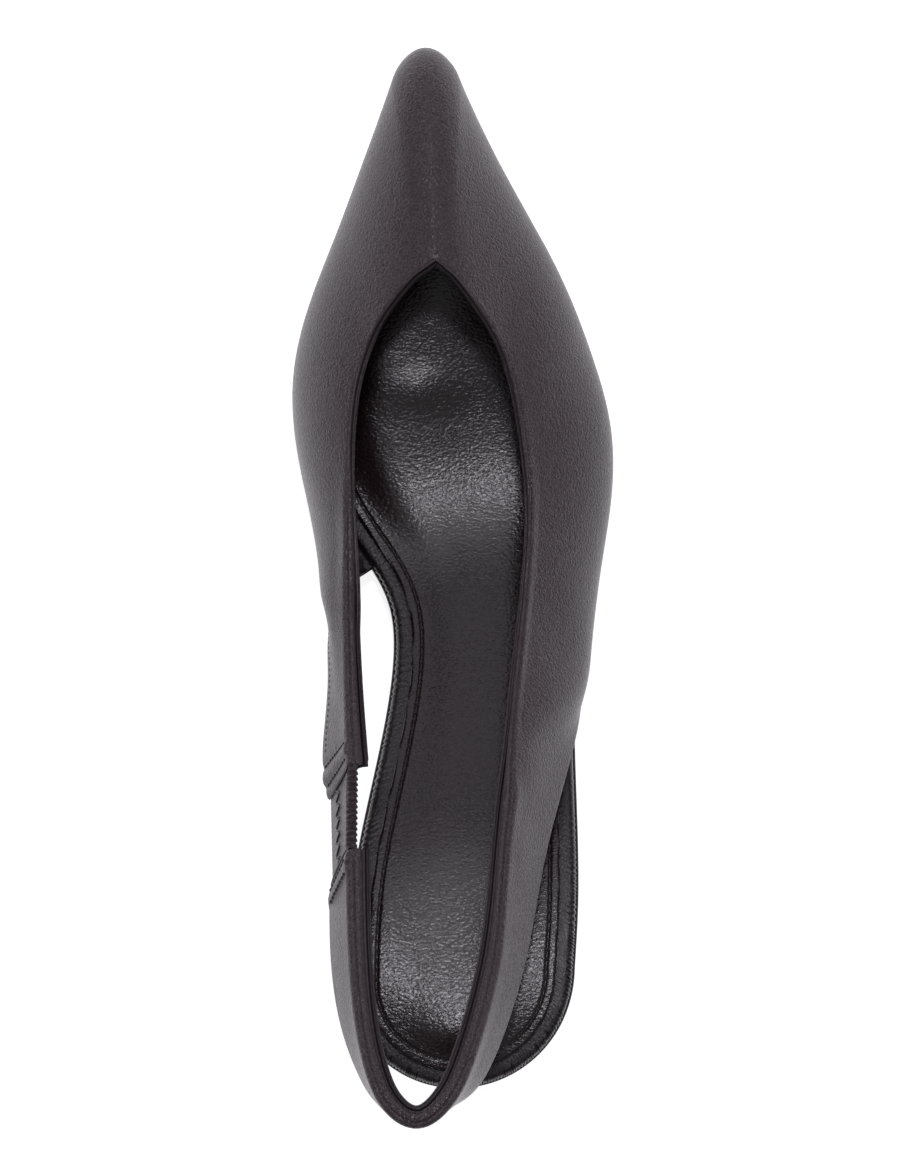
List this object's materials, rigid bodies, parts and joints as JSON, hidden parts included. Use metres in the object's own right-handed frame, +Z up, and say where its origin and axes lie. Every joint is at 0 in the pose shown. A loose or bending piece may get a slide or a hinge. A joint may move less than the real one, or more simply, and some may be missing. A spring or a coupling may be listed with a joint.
{
  "type": "slingback pump",
  "caption": "Women's pointed slingback pump for the right foot, with a V throat, a low slim heel and a strap joined by elastic.",
  "frame": {"origin": "centre of the shoe's bounding box seen from above, at floor level", "axes": "+Y from the heel to the toe, +X to the outer side of the foot, +Z up from the floor"},
  "size_m": [0.0806, 0.2626, 0.1066],
  "materials": {
    "upper_leather": "smooth fine-grained nappa, soft sheen",
    "elastic_gore": "gathered elastic under thin leather",
    "footbed_leather": "fine-grained lining leather wrapped round the edge",
    "sock_leather": "pebbled lining leather, soft gloss",
    "outsole_leather": "smooth finished sole leather",
    "heel_leather": "smooth nappa stretched over the heel block",
    "top_piece_rubber": "matt hard rubber"
  },
  "bodies": {
    "root": {"upper": "upper_leather", "elastic": "elastic_gore", "footbed": "footbed_leather", "sock": "sock_leather", "outsole": "outsole_leather", "heel": "heel_leather", "top_piece": "top_piece_rubber"}
  },
  "joints": []
}
